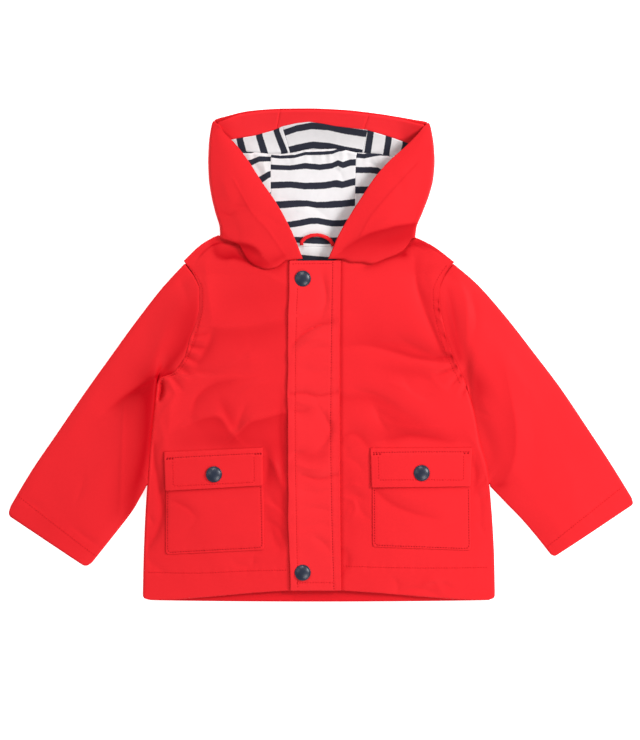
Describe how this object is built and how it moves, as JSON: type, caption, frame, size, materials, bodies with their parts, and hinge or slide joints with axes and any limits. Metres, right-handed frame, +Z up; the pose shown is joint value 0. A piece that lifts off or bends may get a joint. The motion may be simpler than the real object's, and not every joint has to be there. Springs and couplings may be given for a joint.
{
  "type": "kids hooded rain jacket",
  "caption": "Small child's red hooded rain jacket lying flat, with a storm flap, two flapped patch pockets, navy snaps and a striped jersey lining in the open hood.",
  "frame": {"origin": "middle of the jacket's outline, on the surface that it lies on", "axes": "+X towards the wearer's left, across the sleeves; +Y from the hem to the hood; +Z up, out of the jacket's front"},
  "size_m": [0.5856, 0.4587, 0.0279],
  "materials": {
    "red_cloth": "satin",
    "red_facing": "matte",
    "striped_jersey": "matte",
    "navy_snap": "gloss"
  },
  "bodies": {
    "root": {"back": "red_cloth", "front_left": "red_cloth", "front_right": "red_cloth", "sleeve_left": "red_cloth", "sleeve_right": "red_cloth", "hood_side_left": "red_cloth", "hood_side_right": "red_cloth", "hood_centre": "red_cloth", "storm_flap": "red_cloth", "pocket_left": "red_cloth", "pocket_right": "red_cloth", "pocket_flap_left": "red_cloth", "pocket_flap_right": "red_cloth", "hanger_loop": "red_cloth", "hood_facing_centre": "red_facing", "hood_facing_left": "red_facing", "hood_facing_right": "red_facing", "hem_facing": "red_facing", "lining_back_centre": "striped_jersey", "lining_back_left": "striped_jersey", "lining_back_right": "striped_jersey", "lining_crown_centre": "striped_jersey", "lining_crown_left": "striped_jersey", "lining_crown_right": "striped_jersey", "neck_lining": "striped_jersey", "snap_top": "navy_snap", "snap_bottom": "navy_snap", "snap_pocket_left": "navy_snap", "snap_pocket_right": "navy_snap"}
  },
  "joints": []
}
